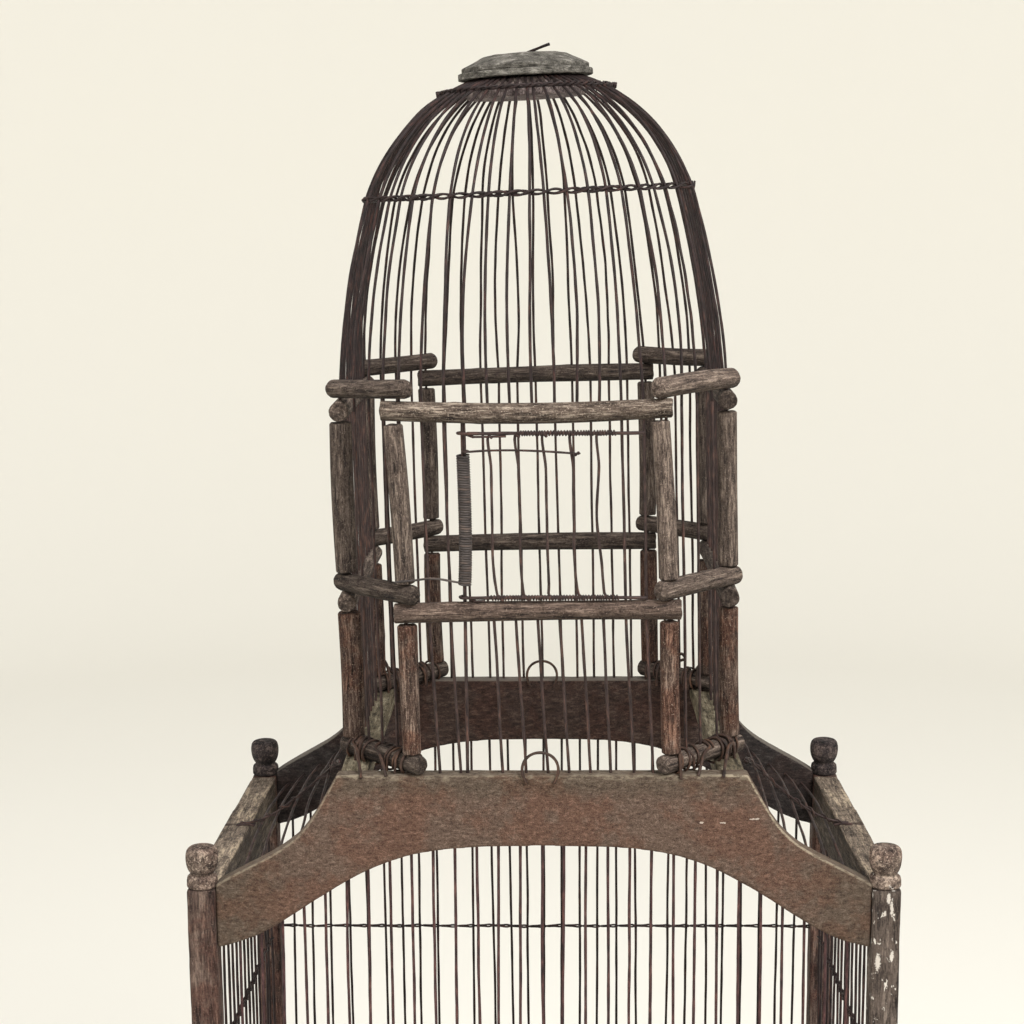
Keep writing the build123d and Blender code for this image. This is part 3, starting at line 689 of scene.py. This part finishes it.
FINIAL = [(0.2, 0), (5, 0), (9.4, 0.1), (10.2, 0.7), (10.4, 3), (10.3, 5.6), (9.9, 7.2), (8.9, 8.1),
          (7.9, 8.8), (8, 9.7), (9, 11.4), (10.1, 14), (10.8, 17.4), (11, 20.4), (10.7, 23.6), (10, 25.8),
          (8.9, 27.1), (6.4, 27.8), (3, 28), (0.2, 28)]
KNOB = [(0.2, 0), (5, 0), (4.3, 2), (4.2, 3.8), (6, 5.6), (8, 7.2), (8.5, 9.6), (7.7, 11.6), (6, 13),
        (3, 13.8), (0.2, 14)]
for place in ("front_left", "front_right", "rear_left", "rear_right"):
    low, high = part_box(f"finial_{place}")
    middle = (low + high) / 2
    lathed(f"finial_{place}", (middle.x, middle.y, low.z), UP, FINIAL,
           dark_finial if "rear" in place else finial_wood)
low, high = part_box("tray_knob")
lathed("tray_knob", (0, high.y, (low.z + high.z) / 2), FRONT, KNOB, finial_wood)


# ======================= straight and bent wires =======================
def wire_piece(name, material, crook, lean=0.0, width=WIRE, step=7 * MM, swing=None):
    """All wires of one CAD node, with waves of crook millimetres. Each stands about lean millimetres to one
    side at its foot, as hand-set wires do."""
    pile = Pile()
    for line in lines(name, width):
        path = crooked(line, step, crook * MM)
        share = np.linspace(1, 0, len(path))[:, None]
        slant = rng.normal() * lean * MM
        path = path + share * slant * unit(np.cross(line[-1] - line[0], (line[0][0], line[0][1], 0)))
        if swing:
            path = swing(path)
        pile.rust(path, width / 2, 8)
    pile.build(material, name)


def to_the_right(path):
    """The front wires of the tower swing a little to the right below the middle log."""
    low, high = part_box("mid_log_front")
    if path[0][1] < high.y:
        path[:, 0] += 3.2 * MM * np.clip((low.z - path[:, 2]) / (low.z - path[0][2]), 0, 1)
    return path


wire_piece("body_wires_front", plum_iron, 0.16, 1.6)
# The rear wires take the darker iron as painted shade: they are seen against the light behind the cage.
wire_piece("body_wires_rear", dark_iron, 0.16, 1.6)
wire_piece("side_wires", dark_iron, 0.16, 1.2)
wire_piece("tower_wires", brown_iron, 0.2, 1.2, swing=to_the_right)
wire_piece("corner_wires", brown_iron, 0.1)
wire_piece("hinge_wire", brown_iron, 0.05, width=HINGE_WIRE)
wire_piece("cap_wire", dark_iron, 0.3, step=2 * MM)
wire_piece("roof_wires", brown_iron, 0.35)

# Dome ribs, which the frame holds as two solids each: put end to end, with tails bent in over the hub.
uppers = lines("dome_ribs_upper", WIRE)
feet = np.array([line[0] for line in uppers])
ribs = []
for line in lines("dome_ribs_lower", WIRE):
    upper = uppers[norm(feet - line[-1], axis=1).argmin()]
    rib = crooked(np.r_[line, upper[1:]], 6 * MM, 0.3 * MM)
    share = np.linspace(0, 1, len(rib))
    aside = unit(np.cross(rib[len(rib) // 2] - rib[0], (rib[0][0], rib[0][1], 0)))
    drift = rng.normal() * 1.5 * np.sin(pi * share) + rng.normal() * 1.2 * np.sin(2 * pi * share)
    ribs.append(rib + aside * (drift * MM)[:, None])
crown = np.array([rib[-1] for rib in ribs]).mean(0)
pile = Pile()
for rib in ribs:
    inward = unit(crown - rib[-1])
    aside = np.cross(inward, UP)
    swing, reach = rng.uniform(-0.9, 0.9), rng.uniform(4, 11)
    tail = [rib[-1] + (inward * k * reach + aside * k * k * swing * reach) * MM
            + UP * rng.uniform(0.4, 2.2) * MM * min(1, 2 * k) for k in (0.35, 0.7, 1.0)]
    pile.rust(resample(np.r_[rib, tail], 5 * MM), WIRE / 2, 8)
pile.build(dark_iron, "dome_ribs_lower", "dome_ribs_upper", name="dome_ribs_look")


# ======================= wires laid round others =======================
def twined(pile, posts, outward, wide, narrow, radius, closed):
    """Two strands twined past a row of upright wires, one before and one behind each. They are wide apart at a
    wire and narrow between two."""
    steps = 10
    count = len(posts) if closed else len(posts) - 1
    t = np.arange(count * steps + (0 if closed else 1)) / steps
    cell = np.minimum(t.astype(int), count - 1)
    after = (cell + 1) % len(posts)
    share = (t - cell)[:, None]
    middle = posts[cell] * (1 - share) + posts[after] * share
    out = outward[cell] * (1 - share) + outward[after] * share
    gap = np.abs(np.cos(pi * (t - cell)))[:, None] ** 3
    reach = narrow + (wide - narrow) * gap
    for sign in (1, -1):
        pile.rust(middle + sign * reach * around(pi * t, out, UP), radius, 6, closed)


def twist_end(pile, knot, out, gap, size=1.0):
    """The strands' ends, twisted off outside a ring."""
    t = np.linspace(0, 2.2, 30)
    line = (knot + out * (gap + t[:, None] * 1.1 * size * MM)
            + 1.5 * size * MM * around(2 * pi * t, np.cross(out, UP), UP))
    pile.tube(line, 0.85 * MM, sides=6)


def away_from(centre, points):
    """Level directions from a centre to points."""
    outward = (points - centre) * (1, 1, 0)
    return outward / norm(outward, axis=1, keepdims=True)


# The dome's binding ring, past each rib's waist.
waists = np.array([line[-1] for line in lines("dome_ribs_lower", WIRE)])
centre = waists.mean(0)
waists = waists[np.argsort(np.arctan2(waists[:, 1] - centre[1], waists[:, 0] - centre[0]))]
outward = away_from(centre, waists)
pile = Pile()
twined(pile, waists, outward, 1.75 * MM, 1.5 * MM, 0.85 * MM, closed=True)
leftmost, rightmost = outward[:, 0].argmin(), outward[:, 0].argmax()
twist_end(pile, waists[leftmost], outward[leftmost], 2.2 * MM)
twist_end(pile, waists[rightmost], outward[rightmost], 2.6 * MM, 1.6)
pile.build(dark_iron, "dome_ring")

# The panels' binding wires. Those in front and behind reach past the end wires to the posts.
pile = Pile()
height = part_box("panel_bindings")[0].z + 0.8 * MM
for name, out, sorted_by, uneven in (("body_wires_front", -FRONT, 0, 0.3), ("body_wires_rear", FRONT, 0, 0.3),
                                     ("side_wires", -RIGHT, 1, 0.5), ("side_wires", RIGHT, 1, 0.5)):
    rows = [line for line in lines(name, WIRE) if name != "side_wires" or line[0] @ out > 0]
    rows.sort(key=lambda line: line[0][sorted_by])
    posts = np.array([[line[0][0], line[0][1], height + rng.normal(0, uneven) * MM] for line in rows])
    if name != "side_wires":
        past_end = np.array((posts[1][0] - posts[0][0], 0, 0)) * 0.9
        posts = np.r_[[posts[0] - past_end], posts, [posts[-1] + past_end]]
    twined(pile, posts, np.tile(out, (len(posts), 1)), 1.5 * MM, 0.45 * MM, 0.75 * MM, closed=False)
pile.build(dark_iron, "panel_bindings")

# The ties over the roof wires, with a second strand wound loosely round each.
pile = Pile()
for line in lines("shoulder_ties", 1.6 * MM):
    path = crooked(line if abs(line[0][1]) < abs(line[-1][1]) else line[::-1], 2 * MM, 0.5 * MM)
    pile.rust(path, 0.85 * MM)
    across, up = carried_frames(path)
    t = np.linspace(0, 1, len(path))
    reach = (1.2 + 0.8 * np.sin(9 * t) ** 2) * MM
    winding = around(2 * pi * (11 * t + 1.5 * np.sin(4 * t)), across, up)
    pile.rust(path + reach[:, None] * winding, 0.6 * MM, 6)
    # Its end lies in a notch across the inner half of the rail's top.
    out = np.sign(line[0][0])
    low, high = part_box("side_rail_left" if out < 0 else "side_rail_right")
    inner = high.x if out < 0 else low.x
    for k in range(3):
        reach = np.linspace(-2.5, (11.0, 13.5, 9.0)[k], 12)
        aside = (k - 1) * 1.9 + 0.8 * np.sin(reach / 2 + 2 * k)
        above = 0.5 - 1.6 * (np.abs(reach - 4) / 8) ** 3
        pile.rust(np.stack([inner + out * reach * MM, aside * MM, high.z + above * MM], 1), 0.95 * MM)
pile.build(brown_iron, "shoulder_ties")

# The loops that stand on the boards.
pile = Pile()
for cloud in solids("board_loops"):
    low, high = cloud.min(0), cloud.max(0)
    radius = (high[0] - low[0]) / 2 - WIRE / 2
    middle = np.array(((low[0] + high[0]) / 2, (low[1] + high[1]) / 2, high[2] - WIRE / 2 - radius))
    t = np.linspace(radians(-28), radians(208), 40)
    line = middle + np.stack([radius * np.cos(t), 0.6 * MM * np.sin(3 * t), radius * np.sin(t)], 1)
    legs = []
    for end in (line[0], line[-1]):
        foot = np.array((end[0] - np.sign(end[0] - middle[0]) * 1.6 * MM, end[1], low[2] + 0.5 * MM))
        legs.append([end + (foot - end) * k for k in (0.3, 0.6, 1)])
    pile.rust(resample(np.r_[legs[0][::-1], line, legs[1]], 1.5 * MM), WIRE / 2, 8)
pile.build(red_iron, "board_loops")

# The hoop round the hub: two strands twined along the frame's hoop, past each rib.
cloud = vertices("hub_hoop")
level = cloud.mean(0)
bearing = np.arctan2(cloud[:, 1] - level[1], cloud[:, 0] - level[0])
hoop_reach = norm((cloud - level)[:, :2], axis=1).mean()
hoop = []
for rib in ribs:
    apart = np.abs(norm((rib - level)[:, :2], axis=1) - hoop_reach)
    bend = rib[apart.argmin()] - level
    off = np.abs((bearing - atan2(bend[1], bend[0]) + pi) % (2 * pi) - pi)
    hoop.append(cloud[off < 0.07].mean(0))
hoop = np.array(sorted(hoop, key=lambda p: atan2(p[1] - level[1], p[0] - level[0])))
outward = away_from(level, hoop)
pile = Pile()
twined(pile, hoop - outward * 0.4 * MM, outward, 1.2 * MM, 0.9 * MM, 0.85 * MM, closed=True)
for at in (outward[:, 0].argmin(), outward[:, 0].argmax()):
    twist_end(pile, hoop[at], outward[at], 1.4 * MM)
pile.build(dark_iron, "hub_hoop")


# ======================= lashings =======================
pile = Pile()
diagonals = lines("base_diagonals", STICK)
for cloud in solids("lashings"):
    middle = cloud.mean(0)
    ends = min(diagonals, key=lambda line: norm((line[0] + line[-1]) / 2 - middle))
    axis = unit(ends[-1] - ends[0])
    foot = ends[0] + axis * ((middle - ends[0]) @ axis)
    across = unit(np.cross(axis, UP))
    if across @ middle < 0:
        across = -across
    # Two turns over the stick, with their legs down at its sides.
    for _ in range(2):
        top = foot + axis * rng.uniform(-8, 8) * MM
        reach = STICK / 2 + rng.uniform(0.8, 2.2) * MM
        leg_low, leg_high, lean = rng.uniform(6, 9) * MM, rng.uniform(6, 9) * MM, rng.uniform(-6, 6) * MM
        turn = np.linspace(-0.12, pi + 0.12, 14)
        arch = top + reach * around(turn, across, UP) + axis * lean * np.cos(turn)[:, None]
        first = [arch[0] + (across * 0.4 * MM - UP * leg_low) * k for k in (1, 0.5)]
        last = [arch[-1] - (across * 0.4 * MM + UP * leg_high) * k for k in (0.5, 1)]
        pile.rust(resample(np.r_[first, arch, last], 1.5 * MM), rng.uniform(0.8, 1.2) * MM)
    # Two staples from behind the stick, over it and down to the board, at the end nearer the board.
    if abs(middle[1]) > abs(middle[0]):
        outer, inner = sorted((ends[0], ends[-1]), key=lambda end: -abs(end[0]))
        rise = 2.3 if middle[1] > 0 else 1.0
        turn = np.linspace(3.6, 0.9, 10)
        arch = (STICK / 2 + 1.3 * MM) * around(turn, across, UP)
        arch[:, 2] *= np.where(arch[:, 2] > 0, rise, 1)
        for x, depth in ((119.6 * MM, 136.5 * MM), (103.2 * MM, 134.5 * MM)):
            share = (abs(outer[0]) - x - 5.5 * MM) / (abs(outer[0]) - abs(inner[0]))
            over = outer + (inner - outer) * share + arch
            ground = np.array((np.sign(middle[0]) * x, np.sign(middle[1]) * depth, board_top - 1 * MM))
            fall = [over[-1] * (1 - k) + ground * k + UP * 3.2 * MM * sin(pi * k) for k in (0.35, 0.7)]
            pile.rust(resample(np.r_[over, fall, [ground]], 1.5 * MM), 1.15 * MM, 8)
    # A loose winding along the stick.
    t = np.linspace(0, 1, 90)
    phase = 2 * pi * 3.2 * t + rng.uniform(0, 6)
    reach = STICK / 2 + (1.1 + 0.9 * np.sin(7 * t) ** 2) * MM
    winding = axis * ((t - 0.5) * 26 * MM)[:, None] + reach[:, None] * around(phase, across, UP)
    pile.rust(foot + winding, 0.9 * MM)
pile.build(red_iron, "lashings")


# ======================= spring door =======================
hinge = lines("hinge_wire", HINGE_WIRE)[0]
hinge_axis = unit(hinge[-1] - hinge[0])


def on_hinge(z):
    return hinge[0] + hinge_axis * ((z - hinge[0][2]) / hinge_axis[2])


def shift(*sizes):
    """A small step, in millimetres."""
    return np.array(sizes) * MM


COIL = 3.75 * MM
spring_low, spring_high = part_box("door_spring")
coil_low, coil_high = spring_low.z + 0.9 * MM, spring_high.z - 0.8 * MM
turns = int((coil_high - coil_low) / (1.6 * MM))
t = np.linspace(0, 1, turns * 14)
coil = (np.array([on_hinge(z) for z in coil_low + (coil_high - coil_low) * t])
        + COIL * around(2 * pi * turns * t, RIGHT, FRONT) + (0.9 * MM * np.sin(pi * t**0.8))[:, None] * RIGHT)
pile = Pile()
pile.tube(coil, 0.76 * MM)
cloud = vertices("door_spring")
tip = cloud[cloud[:, 0] < spring_low.x + 0.4 * MM].mean(0)
root = coil[0] + FRONT * 0.2 * MM
leg = [root * (1 - k) + tip * k + shift(0, -forward, up)
       for k, forward, up in ((0, 0, 0), (0.2, 0.6, 1.6), (0.5, 0.8, 3.4), (0.78, 0, 1.4), (1, 0, 0))]
pile.rust(resample(leg, 2.5 * MM), 0.75 * MM)
pile.build(spring_iron, "door_spring")

# The spring's arm, which ends in a hook on a wire of the door.
arm_low, arm_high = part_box("spring_arm")
cloud = vertices("spring_arm")
tip = cloud[cloud[:, 0] > arm_high.x - 0.4 * MM].mean(0)
t = np.linspace(0.25, 1, 14) * 2 * pi
turn = on_hinge(arm_high.z - 0.8 * MM) + COIL * around(t, -RIGHT, FRONT)
reach = turn[-1] + FRONT * 3.2 * MM
arm = [turn[0], *turn[4:9], reach + RIGHT * 4 * MM,
       *(reach * (1 - k) + tip * k + UP * 1.6 * MM * sin(pi * k) for k in (0.25, 0.5, 0.75, 1.0))]
pile = Pile()
pile.rust(resample(arm, 2.5 * MM), 0.75 * MM)
t = np.linspace(0, 1.5, 24)
hook = np.stack([5.5 * t / 1.5 - 5, 1.4 * np.cos(2 * pi * t), 1.1 * np.sin(2 * pi * t)], 1)
pile.tube(tip + hook * MM, 0.6 * MM, 6)
pile.build(brown_iron, "spring_arm")

# Door bars: a wire bent back round the hinge wire, its tail wound along the bar.
pile = Pile()
bars = sorted(solids("door_bars"), key=lambda cloud: cloud[:, 2].mean())
for cloud in bars:
    end = cloud[cloud[:, 0] > cloud[:, 0].max() - 0.3 * MM].mean(0)
    eye = on_hinge(end[2])
    start = np.array((eye[0], end[1], end[2]))
    pile.rust(crooked([start + shift(3, 0, 0), end], 3 * MM, 0.3 * MM, (True, False)), 1.15 * MM, 8)
    back = start + shift(7, 0, -2.2)
    bend = [start + shift(3, 0, 0), start + shift(-1, -0.6, 0), eye + shift(-3.2, 0.4, 0),
            eye + shift(-1.2, 2.6, 0), eye + shift(2.2, 1.9, -1.2), back]
    pile.tube(resample(bend, 1.2 * MM), 0.95 * MM, 7)
    length = end[0] - start[0]
    wound_from, wound_to = 0.30 if cloud is bars[-1] else 0.14, 0.84
    tail = [back, start + RIGHT * length * wound_from * 0.8 + shift(0, 0, -1.9)]
    pile.tube(resample(tail, 4 * MM), 0.75 * MM, 7)
    winds = int(length * (wound_to - wound_from) / (1.75 * MM))
    t = np.linspace(0, 1, winds * 10)
    along = length * (wound_from + (wound_to - wound_from) * (t + 0.004 * np.sin(40 * t)))
    pile.tube(start + RIGHT * along[:, None] + 1.5 * MM * around(2 * pi * winds * t, FRONT, UP), 0.55 * MM, 6)
pile.build(brown_iron, "door_bars")

# Door wires from left to right: how far each sweeps right at its foot, at its middle and near its top.
SWEEPS = ((3.2, 0.3, 0), (2.6, 0.2, 0), (0.4, 0, 0), (3.4, 0, 0), (2.2, -3.2, -1))
pile = Pile()
rows = sorted(lines("door_wires", 1.9 * MM), key=lambda line: line[0][0])
for line, (sweep, middle, high) in zip(rows, SWEEPS):
    foot, top = line[0], line[-1]
    path = [foot + shift(sweep + 2.5, -1.2, 0), foot + shift(sweep * 0.75, 0, 2.2),
            foot + shift(sweep * 0.2, 0, 9.5), foot * 0.8 + top * 0.2,
            foot * 0.5 + top * 0.5 + shift(middle, 0, 0), foot * 0.2 + top * 0.8 + shift(high, 0, 0),
            top + shift(0, -1, 0), top + shift(1.2, -2, -1)]
    pile.rust(crooked(path, 3 * MM, 0.25 * MM), 0.95 * MM, 8)
pile.build(brown_iron, "door_wires")


# ======================= room, light and camera =======================
# A round pale floor that turns up into a wall all round.
flat, curve, wall, sides = 3.6, 1.4, 3.2, 96
bend = [(flat + curve * sin(a), curve - curve * cos(a)) for a in np.linspace(0.1, pi / 2, 14)]
profile = [(flat, 0.0), *bend, (flat + curve, wall)]
floor_points = [(r * cos(2 * pi * k / sides), r * sin(2 * pi * k / sides), z)
                for r, z in profile for k in range(sides)] + [(0, 0, 0)]
floor_faces = [(len(floor_points) - 1, k, (k + 1) % sides) for k in range(sides)]
for ring in range(len(profile) - 1):
    a, b = ring * sides, (ring + 1) * sides
    floor_faces += [(a + k, b + k, b + (k + 1) % sides, a + (k + 1) % sides) for k in range(sides)]
floor_mesh = bpy.data.meshes.new("floor")
floor_mesh.from_pydata(floor_points, [], floor_faces)
floor_mesh.shade_smooth()
pale_floor = Shade("pale_floor", metallic=0.0, specular=0.1)
pale_floor.set("Base Color", (0.86, 0.84, 0.78))
pale_floor.set("Roughness", 0.9)
floor_mesh.materials.append(pale_floor.material)
floor = bpy.data.objects.new("floor", floor_mesh)
scene.collection.objects.link(floor)

world = bpy.data.worlds.new("soft_sky")
scene.world = world
world.use_nodes = True
sky = world.node_tree.nodes["Background"].inputs
sky["Color"].default_value, sky["Strength"].default_value = (1.0, 0.985, 0.95, 1), 0.68


def softbox(name, place, aim, size, power):
    light = bpy.data.lights.new(name, "AREA")
    light.shape, light.size, light.energy = "DISK", size, power
    lamp = bpy.data.objects.new(name, light)
    scene.collection.objects.link(lamp)
    lamp.location = place
    lamp.rotation_mode = "QUATERNION"
    lamp.rotation_quaternion = (Vector(aim) - Vector(place)).to_track_quat("-Z", "Y")


softbox("key_light", (1.6, -2.2, 3.4), (0, 0, 0.9), 1.6, 150)
softbox("fill_light", (-2.6, -1.6, 2.2), (0, 0, 0.9), 2.4, 40)

scene.view_settings.view_transform = "Standard"

# The camera stands before the cage at eye level, tipped down a little.
pitch, yaw, roll = radians(8.903), radians(-1.2556), radians(-0.4639)
ahead = Vector((sin(yaw) * cos(pitch), cos(yaw) * cos(pitch), -sin(pitch)))
aside = Vector((cos(yaw), -sin(yaw), 0))
above = aside.cross(ahead)
image_x = aside * cos(roll) + above * sin(roll)
image_y = above * cos(roll) - aside * sin(roll)
camera = bpy.data.objects.new("camera", bpy.data.cameras.new("camera"))
scene.collection.objects.link(camera)
camera.data.sensor_width, camera.data.lens = 36, 64.04
camera.data.clip_start, camera.data.clip_end = 0.05, 60
camera.matrix_world = Matrix.Translation((0.0072, -1.2977, 1.1785)) @ Matrix(
    (image_x, image_y, -ahead)).transposed().to_4x4()
scene.camera = camera
